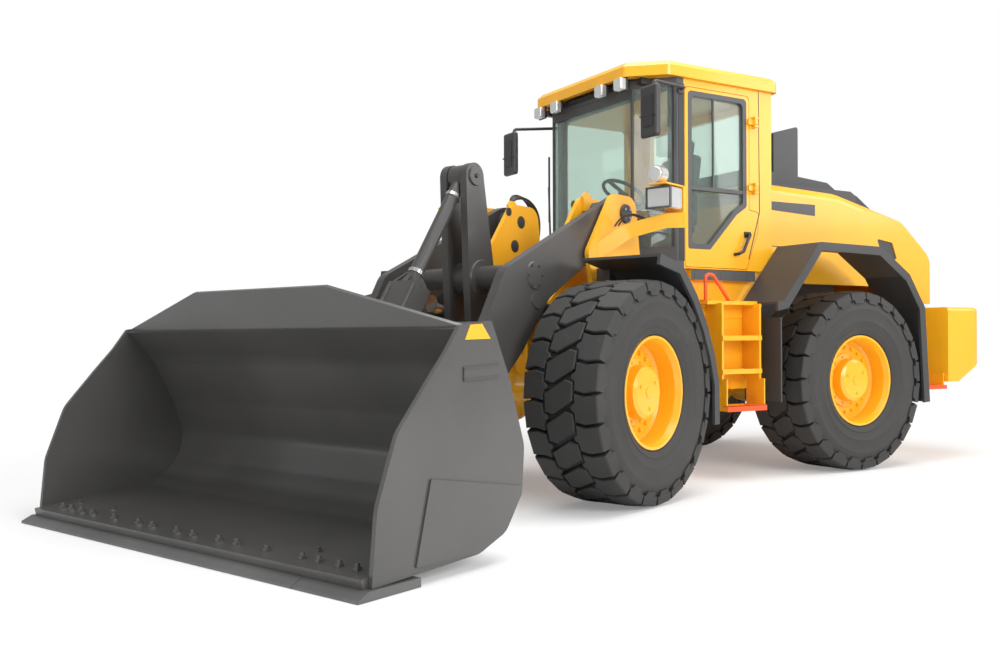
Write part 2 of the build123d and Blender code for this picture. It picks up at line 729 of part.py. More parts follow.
def tilt_link():
    """A round link with a forked foot whose prongs stand beside the bucket's middle lug."""
    run = spaced(crank_top, link_foot)
    ux = (link_foot[0] - crank_top[0]) / run
    uz = (link_foot[1] - crank_top[1]) / run
    knee = along(crank_top, link_foot, run - 880)
    neck = along(crank_top, link_foot, run - 640)
    half = crank_inner - running_gap - 3
    link = rod_y(crank_top, 88, -half, half)
    link += rod_between((crank_top[0], 0, crank_top[1]), (knee[0] + ux * 40, 0, knee[1] + uz * 40), link_radius)

    def strip(start, end, wide, low, high):
        return side_plate(outline([
            (start[0] - uz * wide, start[1] + ux * wide), (end[0] - uz * wide, end[1] + ux * wide),
            (end[0] + uz * wide, end[1] - ux * wide), (start[0] + uz * wide, start[1] - ux * wide),
        ]), low, high)

    flare = strip(knee, neck, 70, -fork_inner - fork_prong, fork_inner + fork_prong)
    link += flare
    prong = strip(neck, link_foot, 66, fork_inner, fork_inner + fork_prong)
    prong += rod_y(link_foot, 82, fork_inner, fork_inner + fork_prong + 12)
    link += prong + mirrored(prong)
    return link - rod_y(crank_top, link_pin_radius + pin_clearance, -400, 400)


def bucket_outer():
    return [(3800, 1205), (3600, 1225), (3460, 950), (3330, 580), (3345, 330), (3480, 150), (3690, 75), (4450, 45)]


def bucket_shell():
    """The bucket's wrapped plate, side plates, spill guard and pivot lugs."""
    half = bucket_width / 2
    outer = bucket_outer()
    inside = [(4460, 90), (3700, 150), (3560, 205), (3440, 330), (3400, 480), (3490, 720), (3650, 1010), (3830, 1185)]
    radii = [0, 0, 200, 180, 180, 180, 200, 0, 0, 220, 160, 150, 150, 300, 300, 0]
    section = outline([*outer, *inside], radii)
    shell = side_plate(section, -half + bucket_plate, half - bucket_plate)
    flank = outline([
        (3830, 1205), (3590, 1228), (3455, 950), (3325, 580), (3345, 330), (3480, 150), (3690, 75), (4420, 45),
        (4385, 390), (4260, 710), (4060, 935), (3930, 1075),
    ], [20, 20, 200, 150, 120, 120, 150, 5, 200, 200, 200, 200])
    cheek = side_plate(flank, half - bucket_plate, half)
    liner = outline([(3352, 372), (4047, 485), (4150, 90), (3690, 82), (3490, 158), (3360, 330)], [5, 5, 5, 60, 100, 40])
    cheek += side_plate(liner, half - 1, half + 10)
    shell += cheek + mirrored(cheek)
    guard_face = [(half, 0), (600, 245), (-600, 245), (-half, 0)]
    lean = degrees(atan2(100, 235))
    guard = Pos(3800, 0, 1200) * Rot(0, lean, 0) * cross_plate(outline([(y, z) for y, z in guard_face]), -12, 12)
    shell += guard
    pair = []
    for low, high in ((arm_inner - 40, arm_inner - 10), (arm_inner + arm_thick + 10, arm_inner + arm_thick + 40)):
        lug = outline([
            (bucket_pivot[0], 225), (bucket_pivot[0], 495), (3230, 700), (3400, 760), (3370, 300), (3230, 225),
        ])
        plate = side_plate(lug, low, high) + rod_y(bucket_pivot, 135, low, high)
        plate -= rod_y(bucket_pivot, bucket_pin + pin_clearance, low - 1, high + 1)
        pair.append(plate)
        pair.append(mirrored(plate))
    upper = outline([
        (link_foot[0], link_foot[1] - 85), (link_foot[0], link_foot[1] + 85), (3480, 960), (3360, 620),
    ])
    tongue = fork_inner - running_gap - 2
    centre = side_plate(upper, -tongue, tongue) + rod_y(link_foot, 85, -tongue, tongue)
    for piece in pair:
        shell += piece
    return shell + centre


def bucket_pins():
    pin = rod_y(bucket_pivot, bucket_pin, arm_inner - 55, arm_inner + arm_thick + 55)
    return both_sides(pin)


def cutting_edge():
    half = bucket_width / 2
    section = outline([
        (4130, floor_clear), (edge_tip, floor_clear), (edge_tip, floor_clear + 12), (4455, 44.7), (4130, 44.7),
    ])
    edge = side_plate(section, -half - 20, half + 20)
    for y in (-half + 420, half - 420):
        edge -= block((4250, edge_tip + 10), (y - 2, y + 2), (floor_clear - 1, 60))
    return edge


# Cylinders are drawn along x from the tail pin and then laid between their two pins


def cylinder_barrel(length, radius, bore, rod, eye, eye_half):
    """A barrel with its tail eye at the origin, closed at the tail, with a gland at its mouth."""
    tail = eye + 12
    tube = Pos(eye * 0.6, 0, 0) * Rot(0, 90, 0) * Cylinder(
        radius, length - eye * 0.6, align=(Align.CENTER, Align.CENTER, Align.MIN)
    )
    gland = Pos(length - 60, 0, 0) * Rot(0, 90, 0) * Cylinder(
        radius + 8, 60, align=(Align.CENTER, Align.CENTER, Align.MIN)
    )
    space = Pos(tail, 0, 0) * Rot(0, 90, 0) * Cylinder(
        bore, length - 60 - tail, align=(Align.CENTER, Align.CENTER, Align.MIN)
    )
    mouth = Pos(tail, 0, 0) * Rot(0, 90, 0) * Cylinder(
        rod + pin_clearance, length, align=(Align.CENTER, Align.CENTER, Align.MIN)
    )
    return tube + gland + rod_y((0, 0), eye, -eye_half, eye_half) - space - mouth


def cylinder_rod(start, length, radius, eye, eye_half):
    bar = Rot(0, 90, 0) * Cylinder(radius, length - start, align=(Align.CENTER, Align.CENTER, Align.MIN))
    return Pos(start, 0, 0) * bar + rod_y((length, 0), eye, -eye_half, eye_half)


def laid(shape, tail, eye, offset=0.0):
    """Lays a cylinder drawn along x from tail to eye, both in x and z, at the side offset."""
    angle = degrees(atan2(eye[1] - tail[1], eye[0] - tail[0]))
    return Pos(tail[0], offset, tail[1]) * Rot(0, -angle, 0) * shape


def steered(shape, tail, eye):
    """Lays a cylinder in the horizontal plane from tail to eye, both in x and y."""
    angle = degrees(atan2(eye[1] - tail[1], eye[0] - tail[0]))
    return Pos(tail[0], tail[1], steer_height) * Rot(0, 0, angle) * Rot(90, 0, 0) * shape


def turned(point):
    """A point of the front unit, in x and y, in the rear unit's frame."""
    turn = radians(steer_angle)
    return (point[0] * cos(turn) - point[1] * sin(turn), point[0] * sin(turn) + point[1] * cos(turn))


rear = {
    "rear_frame": rear_frame(),
    "rear_axle": axle(rear_axle_x),
    "engine_block": engine_block(),
    "counterweight": Pos(-seat_gap, 0, 0) * counterweight(),
    "cab_base": cab_base(),
    "cab_shell": Pos(0, 0, 0.3) * cab_shell(),
    "cab_front_frame": Pos(0, 0, 0.3) * cab_front_frame(),
    "cab_roof": Pos(0, 0, 0.6) * cab_roof(),
    "cab_glass": cab_glass(),
    "rear_fenders": rear_fenders(),
    "side_boxes": side_boxes(),
    "access_steps": access_steps(),
    "handrails": handrails(),
    "operator_seat": operator_seat(),
    "steering_column": steering_column(),
    "mirrors": mirrors(),
    "work_lamps": work_lamps(),
    "beacon": beacon(),
    "engine_hood": engine_hood(),
    "hood_deck": hood_deck(),
    "rear_grille": rear_grille(),
    "cab_door": cab_door(),
    "door_frame": door_frame(),
    "door_glass": door_glass(),
}

front = {
    "front_frame": front_frame(),
    "arm_towers": arm_towers(),
    "front_axle": axle(front_axle_x),
    "front_fenders": front_fenders(),
    "lamp_brackets": lamp_brackets(),
    "headlamps": headlamps(),
    "arm_left": lift_arm(),
    "arm_right": mirrored(lift_arm()),
    "arm_cross_tube": arm_cross_tube(),
    "crank_bushing": crank_bushing(),
    "tilt_lever": tilt_lever(),
    "link_pin": link_pin(),
    "tilt_tail_pin": tilt_tail_pin(),
    "tilt_link": tilt_link(),
    "bucket_shell": bucket_shell(),
    "bucket_pins": bucket_pins(),
    "cutting_edge": cutting_edge(),
}

for name, side in (("left", 1), ("right", -1)):
    for end, x, unit in (("front", front_axle_x, front), ("rear", rear_axle_x, rear)):
        unit[f"tyre_{end}_{name}"] = placed_wheel(tyre(), x, side)
        unit[f"rim_{end}_{name}"] = placed_wheel(wheel_rim(), x, side)
    length = spaced(lift_tail, lift_eye)
    barrel = cylinder_barrel(length - 180, lift_barrel, 56, lift_rod, 70, 60)
    barrel -= rod_y((0, 0), lift_pin + pin_clearance, -100, 100)
    rod = cylinder_rod(150, length, lift_rod, 68, 55)
    front[f"lift_barrel_{name}"] = laid(barrel, lift_tail, lift_eye, side * lift_offset)
    front[f"lift_rod_{name}"] = laid(rod, lift_tail, lift_eye, side * lift_offset)
    tail = (steer_tail[0], side * steer_tail[1])
    eye = turned((steer_eye[0], side * steer_eye[1]))
    length = spaced(tail, eye)
    barrel = cylinder_barrel(steer_reach, steer_barrel_radius, 36, steer_rod_radius, 45, 48)
    barrel -= rod_y((0, 0), steer_pin + pin_clearance, -100, 100)
    rod = cylinder_rod(length - steer_rod_length, length, steer_rod_radius, 45, 40)
    rear[f"steer_barrel_{name}"] = steered(barrel, tail, eye)
    rear[f"steer_rod_{name}"] = steered(rod, tail, eye)

length = spaced(tilt_tail, crank_foot)
barrel = cylinder_barrel(length - 360, tilt_barrel_radius, 68, tilt_rod_radius, 80, 58)
barrel -= rod_y((0, 0), tilt_pin + pin_clearance, -100, 100)
front["tilt_barrel"] = laid(barrel, tilt_tail, crank_foot)
front["tilt_rod"] = laid(cylinder_rod(420, length, tilt_rod_radius, 78, 58), tilt_tail, crank_foot)

park = Pos(-parked_middle[0], -parked_middle[1], 0)
turn = Rot(0, 0, steer_angle)
for unit, place in ((rear, park), (front, park * turn)):
    for name, shape in unit.items():
        export_step(place * shape, f"parts/{name}.step")
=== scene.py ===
import json
import math

import bmesh
import bpy
from mathutils import Matrix, Vector


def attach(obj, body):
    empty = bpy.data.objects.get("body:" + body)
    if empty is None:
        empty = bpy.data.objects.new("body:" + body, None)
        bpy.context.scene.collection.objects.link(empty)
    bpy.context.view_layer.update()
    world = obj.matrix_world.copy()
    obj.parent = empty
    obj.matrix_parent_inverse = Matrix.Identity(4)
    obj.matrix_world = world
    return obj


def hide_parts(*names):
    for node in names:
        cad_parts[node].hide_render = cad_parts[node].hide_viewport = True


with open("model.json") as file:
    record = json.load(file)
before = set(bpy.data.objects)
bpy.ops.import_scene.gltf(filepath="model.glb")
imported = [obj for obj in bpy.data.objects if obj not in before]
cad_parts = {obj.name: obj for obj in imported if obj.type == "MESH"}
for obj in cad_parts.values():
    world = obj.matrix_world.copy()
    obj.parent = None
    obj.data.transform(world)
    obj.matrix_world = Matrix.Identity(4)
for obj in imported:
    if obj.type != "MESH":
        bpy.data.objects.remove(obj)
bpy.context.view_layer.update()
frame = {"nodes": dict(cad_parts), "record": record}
nodes = frame["nodes"]

# Drawing frames: each unit is drawn about the hinge between the units, and the front one is steered
STEER = math.radians(20.18)
SHIFT = Vector((-0.595, -0.817, 0.0))
FRONT = Matrix.Translation(SHIFT) @ Matrix.Rotation(STEER, 4, "Z")
REAR = Matrix.Translation(SHIFT)

# Sizes of the solids that the small pieces sit on, in metres; pivots are (x, z) in the front unit
AXLE_X = 1.6
AXLE_Z = 0.768
HALF_TRACK = 1.03
BUCKET_HALF = 1.5
ARM_FACE = 0.595
TOWER_FACE = 0.645
HOOD_HALF = 0.725
LAMP_Y = 1.025
MIRROR_Y = 1.025
ARM_PIVOT = (0.93, 2.09)
CRANK_PIVOT = (2.02, 1.57)
CRANK_TOP = (2.095, 2.29)
LINK_FOOT = (3.125, 0.76)
BUCKET_PIVOT = (3.1, 0.36)
LIFT_EYE = (2.0, 1.4)
LIFT_TAIL = (0.7, 1.05)
WHEELS = {
    "front_left": (FRONT, AXLE_X, 1), "front_right": (FRONT, AXLE_X, -1),
    "rear_left": (REAR, -AXLE_X, 1), "rear_right": (REAR, -AXLE_X, -1),
}


# Materials

def socket(shader, name, value):
    """Sets an input of the shader if this Blender has it."""
    if name in shader.inputs:
        shader.inputs[name].default_value = value


def material(name, color, rough, metallic=0.0, spread=0.06, grain=40.0, bump=0.02, wear=None, coat=0.0):
    """A painted, cast or moulded surface with slow colour changes, fine grain and scuffs."""
    m = bpy.data.materials.new(name)
    m.use_nodes = True
    t = m.node_tree
    n = t.nodes
    link = t.links.new
    shader = n["Principled BSDF"]
    socket(shader, "Metallic", metallic)
    socket(shader, "Coat Weight", coat)
    socket(shader, "Coat Roughness", 0.12)
    coord = n.new("ShaderNodeTexCoord")
    slow = n.new("ShaderNodeTexNoise")
    slow.inputs["Scale"].default_value = 1.7
    slow.inputs["Detail"].default_value = 5.0
    link(coord.outputs["Object"], slow.inputs["Vector"])
    ramp = n.new("ShaderNodeValToRGB")
    ramp.color_ramp.elements[0].position = 0.3
    ramp.color_ramp.elements[1].position = 0.7
    low = [max(0.0, c * (1 - spread)) for c in color]
    high = [min(1.0, c * (1 + spread)) for c in color]
    ramp.color_ramp.elements[0].color = (*low, 1)
    ramp.color_ramp.elements[1].color = (*high, 1)
    link(slow.outputs["Fac"], ramp.inputs["Fac"])
    out = ramp.outputs["Color"]
    fine = n.new("ShaderNodeTexNoise")
    fine.inputs["Scale"].default_value = grain
    fine.inputs["Detail"].default_value = 6.0
    link(coord.outputs["Object"], fine.inputs["Vector"])
    if wear:
        scuff = n.new("ShaderNodeTexNoise")
        scuff.inputs["Scale"].default_value = 9.0
        scuff.inputs["Detail"].default_value = 12.0
        scuff.inputs["Roughness"].default_value = 0.7
        link(coord.outputs["Object"], scuff.inputs["Vector"])
        edge = n.new("ShaderNodeValToRGB")
        edge.color_ramp.elements[0].position = 0.6
        edge.color_ramp.elements[1].position = 0.72
        edge.color_ramp.elements[0].color = (0, 0, 0, 1)
        edge.color_ramp.elements[1].color = (0.55, 0.55, 0.55, 1)
        link(scuff.outputs["Fac"], edge.inputs["Fac"])
        mix = n.new("ShaderNodeMix")
        mix.data_type = "RGBA"
        mix.inputs["B"].default_value = (*wear, 1)
        link(edge.outputs["Color"], mix.inputs["Factor"])
        link(out, mix.inputs["A"])
        out = mix.outputs["Result"]
    link(out, shader.inputs["Base Color"])
    rr = n.new("ShaderNodeMapRange")
    rr.inputs["To Min"].default_value = max(0.03, rough - 0.07)
    rr.inputs["To Max"].default_value = rough + 0.09
    link(slow.outputs["Fac"], rr.inputs["Value"])
    link(rr.outputs["Result"], shader.inputs["Roughness"])
    b = n.new("ShaderNodeBump")
    b.inputs["Strength"].default_value = bump
    b.inputs["Distance"].default_value = 0.004
    link(fine.outputs["Fac"], b.inputs["Height"])
    link(b.outputs["Normal"], shader.inputs["Normal"])
    return m


def glass(name, color, rough=0.02):
    """Clear tinted glass with a slightly uneven polish."""
    m = bpy.data.materials.new(name)
    m.use_nodes = True
    t = m.node_tree
    n = t.nodes
    shader = n["Principled BSDF"]
    socket(shader, "Transmission Weight", 0.93)
    socket(shader, "IOR", 1.06)
    socket(shader, "Specular IOR Level", 0.9)
    socket(shader, "Coat Weight", 0.6)
    socket(shader, "Coat Roughness", 0.03)
    coord = n.new("ShaderNodeTexCoord")
    noise = n.new("ShaderNodeTexNoise")
    noise.inputs["Scale"].default_value = 0.8
    t.links.new(coord.outputs["Object"], noise.inputs["Vector"])
    ramp = n.new("ShaderNodeValToRGB")
    ramp.color_ramp.elements[0].color = (*[c * 0.94 for c in color], 1)
    ramp.color_ramp.elements[1].color = (*color, 1)
    t.links.new(noise.outputs["Fac"], ramp.inputs["Fac"])
    t.links.new(ramp.outputs["Color"], shader.inputs["Base Color"])
    rr = n.new("ShaderNodeMapRange")
    rr.inputs["To Min"].default_value = rough
    rr.inputs["To Max"].default_value = rough + 0.03
    t.links.new(noise.outputs["Fac"], rr.inputs["Value"])
    t.links.new(rr.outputs["Result"], shader.inputs["Roughness"])
    return m


M = {
    "machine_yellow": material("machine_yellow", (0.90, 0.43, 0.012), 0.33, spread=0.035, grain=160,
                               bump=0.02, coat=0.35),
    "arm_grey": material("arm_grey", (0.058, 0.055, 0.053), 0.40, spread=0.12, grain=90, bump=0.05,
                         coat=0.15),
    "bucket_steel": material("bucket_steel", (0.072, 0.070, 0.068), 0.32, spread=0.12, grain=60,
                             bump=0.05, wear=(0.09, 0.088, 0.086), coat=0.2),
    "edge_steel": material("edge_steel", (0.13, 0.13, 0.128), 0.42, 0.3, 0.15, 70, 0.12,
                           wear=(0.2, 0.2, 0.2)),
    "pin_steel": material("pin_steel", (0.55, 0.55, 0.55), 0.22, 0.9, 0.05, 120, 0.02),
    "cylinder_black": material("cylinder_black", (0.03, 0.03, 0.03), 0.38, 0.0, 0.15, 90, 0.03),
    "fender_dark": material("fender_dark", (0.045, 0.045, 0.046), 0.45, 0.0, 0.14, 220, 0.10),
    "tyre_rubber": material("tyre_rubber", (0.032, 0.031, 0.030), 0.66, 0.0, 0.25, 130, 0.18,
                            wear=(0.06, 0.058, 0.055)),
    "tinted_glass": glass("tinted_glass", (0.74, 0.86, 0.80)),
    "frame_grey": material("frame_grey", (0.075, 0.077, 0.08), 0.45, 0.0, 0.1, 150, 0.05),
    "interior_dark": material("interior_dark", (0.03, 0.03, 0.032), 0.75, 0.0, 0.2, 300, 0.25),
    "lamp_clear": material("lamp_clear", (0.72, 0.73, 0.72), 0.12, 0.55, 0.05, 60, 0.05, coat=1.0),
    "rail_orange": material("rail_orange", (0.78, 0.085, 0.012), 0.4, 0.0, 0.08, 160, 0.03),
    "beacon_amber": material("beacon_amber", (0.85, 0.06, 0.02), 0.15, 0.0, 0.08, 60, 0.02, coat=1.0),
}
for item in frame["record"]["subparts"]:
    obj = nodes.get(item["node"])
    if obj is None:
        continue
    slot = item["material_slot"]
    obj.data.materials.clear()
    obj.data.materials.append(M[slot])


# Mesh helpers

def place(bm, name, body, slot, matrix, smooth=None):
    """Turns a bmesh into a piece of a body; matrix takes its drawing frame to the row frame."""
    me = bpy.data.meshes.new(name)
    bmesh.ops.recalc_face_normals(bm, faces=bm.faces)
    bm.to_mesh(me)
    bm.free()
    me.transform(matrix)
    if matrix.determinant() < 0:
        me.flip_normals()
    ob = bpy.data.objects.new(name, me)
    bpy.context.scene.collection.objects.link(ob)
    me.materials.append(M[slot])
    if smooth:
        for p in me.polygons:
            p.use_smooth = True
        me.set_sharp_from_angle(angle=math.radians(smooth))
    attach(ob, body)
    return ob


def add_prism(bm, low, high):
    """A solid between two rings of the same number of points."""
    a = [bm.verts.new(p) for p in low]
    b = [bm.verts.new(p) for p in high]
    k = len(a)
    bm.faces.new(list(reversed(a)))
    bm.faces.new(b)
    for i in range(k):
        bm.faces.new((a[i], a[(i + 1) % k], b[(i + 1) % k], b[i]))


def add_box(bm, xs, ys, zs):
    """A box from three pairs of limits."""
    ring = [(xs[0], ys[0]), (xs[1], ys[0]), (xs[1], ys[1]), (xs[0], ys[1])]
    add_prism(bm, [(x, y, zs[0]) for x, y in ring], [(x, y, zs[1]) for x, y in ring])


def add_cone(bm, centre, axis, r0, r1, depth, sides=24):
    """A round boss from the centre out along the axis."""
    axis = Vector(axis).normalized()
    side = axis.orthogonal().normalized()
    up = axis.cross(side)
    rings = []
    for r, d in ((r0, 0.0), (r1, depth)):
        c = Vector(centre) + axis * d
        turns = [2 * math.pi * i / sides for i in range(sides)]
        rings.append([c + side * (r * math.cos(a)) + up * (r * math.sin(a)) for a in turns])
    add_prism(bm, *rings)


def add_turned(bm, profile, sides=64):
    """A closed ring turned about the y axis from a closed profile of (radius, y)."""
    rings = []
    for i in range(sides):
        a = 2 * math.pi * i / sides
        rings.append([bm.verts.new((r * math.cos(a), y, r * math.sin(a))) for r, y in profile])
    k = len(profile)
    for i in range(sides):
        p, q = rings[i], rings[(i + 1) % sides]
        for j in range(k):
            bm.faces.new((p[j], p[(j + 1) % k], q[(j + 1) % k], q[j]))


def hose(name, body, points, radius, matrix, slot="cylinder_black"):
    """A round hose on a smooth line through the space given by its points."""
    curve = bpy.data.curves.new(name, "CURVE")
    curve.dimensions = "3D"
    spline = curve.splines.new("NURBS")
    spline.points.add(len(points) - 1)
    for p, q in zip(spline.points, points):
        v = matrix @ Vector(q)
        p.co = (*v, 1)
    spline.order_u = 3
    spline.use_endpoint_u = True
    curve.resolution_u = 6
    curve.bevel_depth = radius
    curve.bevel_resolution = 3
    curve.use_fill_caps = True
    ob = bpy.data.objects.new(name, curve)
    bpy.context.scene.collection.objects.link(ob)
    curve.materials.append(M[slot])
    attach(ob, body)
    return ob


# Tyres

R_TOP = 0.768
R_BASE = 0.725
R_FOOT = 0.66
CROWN_EDGE = 0.2
CROWN_FALL = 0.16
TYRE_SIDES = 120
PITCHES = 24
PITCH = 2 * math.pi * R_TOP / PITCHES

# Outlines of the tread blocks as (y, arc length), repeated once a pitch
MIDDLE_BLOCK = [
    (-0.108, -0.098), (-0.05, -0.112), (0.108, -0.02), (0.108, 0.098), (0.05, 0.112), (-0.108, 0.02),
]
SHOULDER_BLOCK = [
    (0.122, 0.047), (0.19, 0.03), (0.286, 0.046), (0.286, 0.222), (0.19, 0.208), (0.122, 0.226),
    (0.122, 0.166), (0.094, 0.146), (0.094, 0.122), (0.122, 0.104),
]


def add_lug(bm, outline, shift, hand):
    """A raised block on the tread with a bevelled top edge; hand -1 turns it to the other shoulder."""
    cy = sum(p[0] for p in outline) / len(outline)
    ca = sum(p[1] for p in outline) / len(outline)
    rings = []
    for radius, grow in ((R_BASE - 0.016, 1.07), (R_TOP - 0.006, 1.0), (R_TOP, 0.93)):
        ring = []
        for y, a in outline:
            y = cy + (y - cy) * grow
            turn = (ca + (a - ca) * grow + shift) / R_TOP * hand
            r = radius - max(0.0, abs(y) - CROWN_EDGE) * CROWN_FALL
            ring.append(bm.verts.new((r * math.cos(turn), hand * y, r * math.sin(turn))))
        rings.append(ring)
    k = len(outline)
    for low, high in zip(rings, rings[1:]):
        for i in range(k):
            bm.faces.new((low[i], low[(i + 1) % k], high[(i + 1) % k], high[i]))
    bm.faces.new(rings[-1])
    bm.faces.new(list(reversed(rings[0])))


def add_shoulder_foot(bm, shift, hand):
    """The part of a shoulder block that runs down onto the side wall."""
    first, last = 0.052, 0.216
    inner_y = 0.25
    run = [
        (R_TOP - 0.022, first, 0.284), (R_TOP - 0.022, last, 0.284), (0.706, last - 0.006, 0.2935),
        (R_FOOT, last - 0.03, 0.296), (R_FOOT, first + 0.03, 0.296), (0.706, first + 0.006, 0.2935),
    ]

    def at(radius, arc, y):
        turn = (arc + shift) / R_TOP * hand
        return (radius * math.cos(turn), hand * y, radius * math.sin(turn))

    add_prism(bm, [at(*spot) for spot in run], [at(radius, arc, inner_y) for radius, arc, _ in run])


def wheel_place(turn, x, side):
    """The matrix that takes a wheel drawn with its outer side towards +y to its hub."""
    place_at = turn @ Matrix.Translation((x, side * HALF_TRACK, AXLE_Z))
    if side < 0:
        place_at = place_at @ Matrix.Rotation(math.pi, 4, "Z")
    return place_at


def tyre_piece(name, turn, x, side):
    """The tyre with its wall rings and tread blocks, in place of the plain solid."""
    bm = bmesh.new()
    profile = [
        (0.3605, 0.0), (0.3605, 0.24), (0.388, 0.243), (0.398, 0.262), (0.43, 0.279), (0.438, 0.284),
        (0.446, 0.279), (0.50, 0.291), (0.508, 0.2955), (0.516, 0.292), (0.60, 0.2945), (0.612, 0.2975),
        (0.624, 0.2935), (0.66, 0.285), (0.70, 0.264), (0.722, 0.235), (R_BASE, 0.15), (R_BASE + 0.004, 0.0),
    ]
    ring = profile + [(r, -y) for r, y in reversed(profile[1:-1])]
    add_turned(bm, ring, TYRE_SIDES)
    for i in range(PITCHES):
        add_lug(bm, MIDDLE_BLOCK, i * PITCH, 1)
        for hand in (1, -1):
            add_lug(bm, SHOULDER_BLOCK, i * PITCH, hand)
            add_shoulder_foot(bm, i * PITCH, hand)
    place_at = wheel_place(turn, x, side)
    piece = place(bm, "tread_" + name, "wheel_" + name, "tyre_rubber", place_at, smooth=26)
    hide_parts("tyre_" + name)


def rim_detail(name, turn, x, side):
    """Three rings of bolts and the hub cap's boss, on the wheel's outer side."""
    bm = bmesh.new()
    rings = (
        (20, 0.0, 0.276, 0.079, 0.015, 0.013, 0.022),
        (12, math.pi / 12, 0.207, 0.104, 0.011, 0.010, 0.014),
        (3, 0.4, 0.11, 0.203, 0.014, 0.012, 0.014),
    )
    for count, start, ring_radius, face, foot, tip, height in rings:
        for i in range(count):
            a = 2 * math.pi * i / count + start
            centre = (ring_radius * math.cos(a), face, ring_radius * math.sin(a))
            add_cone(bm, centre, (0, 1, 0), foot, tip, height, 6)
    add_cone(bm, (0.0, 0.2, 0.0), (0, 1, 0), 0.045, 0.04, 0.016, 24)
    place_at = wheel_place(turn, x, side)
    place(bm, "hub_bolts_" + name, "wheel_" + name, "machine_yellow", place_at, smooth=30)


for wheel_name, (turn, x, side) in WHEELS.items():
    tyre_piece(wheel_name, turn, x, side)
    rim_detail(wheel_name, turn, x, side)


# Small pieces of the front unit, in its own frame before it is steered

def add_plate(bm, points, low, high):
    """An upright plate with an outline in x and z, from one y to another."""
    add_prism(bm, [(x, low, z) for x, z in points], [(x, high, z) for x, z in points])


def add_rod(bm, start, end, radius, sides=16):
    """A round bar from one point to another."""
    along = Vector(end) - Vector(start)
    add_cone(bm, start, along, radius, radius, along.length, sides)


def span(hand, near, far):
    """The two y limits of a layer between two distances from the middle, on one side."""
    return sorted((hand * near, hand * far))


def bucket_detail():
    """Nuts on the cutting edge, the raised bar on each side plate and the corner markers."""
    bm = bmesh.new()
    edge_nuts = (
        -1.30, -1.20, -1.08, -0.95, -0.71, -0.45, -0.31, -0.07,
        0.08, 0.31, 0.46, 0.70, 0.97, 1.09, 1.23, 1.35,
    )
    spots = [(4.365, y) for y in edge_nuts] + [(4.24, -1.33), (4.24, -0.94), (4.24, 0.94)]
    for x, y in spots:
        add_cone(bm, (x, y, 0.088), (0, 0, 1), 0.024, 0.022, 0.026, 6)
        add_cone(bm, (x, y, 0.11), (0, 0, 1), 0.013, 0.012, 0.02, 10)
    for hand in (1, -1):
        low, high = span(hand, BUCKET_HALF, BUCKET_HALF + 0.008)
        add_plate(bm, [(3.537, 0.94), (3.81, 0.93), (3.81, 1.0), (3.537, 1.01)], low, high)
        low, high = span(hand, BUCKET_HALF + 0.006, BUCKET_HALF + 0.012)
        add_plate(bm, [(3.545, 0.948), (3.802, 0.938), (3.802, 0.943), (3.545, 0.953)], low, high)
        add_plate(bm, [(3.545, 0.997), (3.802, 0.987), (3.802, 0.992), (3.545, 1.002)], low, high)
    place(bm, "edge_nuts_and_side_bars", "bucket", "bucket_steel", FRONT)
    bm = bmesh.new()
    for hand in (1, -1):
        low, high = span(hand, BUCKET_HALF, BUCKET_HALF + 0.003)
        add_plate(bm, [(3.603, 1.137), (3.797, 1.133), (3.757, 1.206), (3.668, 1.212)], low, high)
    place(bm, "corner_markers", "bucket", "machine_yellow", FRONT)


def link_detail():
    """The link's two bright collars, the ribs of its fork and a rib along each prong."""
    top = Vector((CRANK_TOP[0], 0, CRANK_TOP[1]))
    foot = Vector((LINK_FOOT[0], 0, LINK_FOOT[1]))
    along = (foot - top).normalized()
    across = Vector((-along.z, 0, along.x))
    neck = 0.868
    prong_y = 0.113
    bm = bmesh.new()
    for distance in (0.165, 0.84):
        add_rod(bm, top + along * distance, top + along * (distance + 0.028), 0.0565, 32)
    place(bm, "link_collars", "link", "pin_steel", FRONT, smooth=40)
    bm = bmesh.new()

    def at(distance, y, lift):
        p = top + along * distance + across * lift
        return (p.x, y, p.z)

    def add_rib(base, crest):
        """A rib between two four-cornered rings given by (distance, y, lift)."""
        add_prism(bm, [at(*corner) for corner in base], [at(*corner) for corner in crest])

    for lift in (0.07, -0.07):
        foot_lift = lift * 0.3
        for low, high in ((-0.139, -0.105), (-0.035, 0.035), (0.105, 0.139)):
            start = (low + high) / 2 * 0.2
            add_rib(
                [(neck, start - 0.012, foot_lift), (neck, start + 0.012, foot_lift),
                 (0.99, high, foot_lift), (0.99, low, foot_lift)],
                [(neck, start - 0.012, foot_lift * 2), (neck, start + 0.012, foot_lift * 2),
                 (0.99, high, lift), (0.99, low, lift)],
            )
    add_rib(
        [(neck, -0.04, -0.04), (neck, 0.04, -0.04), (0.97, 0.138, -0.045), (0.97, -0.138, -0.045)],
        [(neck, -0.04, 0.04), (neck, 0.04, 0.04), (0.97, 0.138, 0.045), (0.97, -0.138, 0.045)],
    )
    for hand in (1, -1):
        y = hand * prong_y
        for lift in (0.071, -0.071):
            base, crest = lift * 0.9, lift * 1.2
            add_rib(
                [(0.99, y - 0.012, base), (0.99, y + 0.012, base),
                 (1.72, y + 0.012, base), (1.72, y - 0.012, base)],
                [(1.0, y - 0.006, crest), (1.0, y + 0.006, crest),
                 (1.70, y + 0.006, crest), (1.70, y - 0.006, crest)],
            )
    place(bm, "link_fork_ribs", "link", "arm_grey", FRONT, smooth=35)


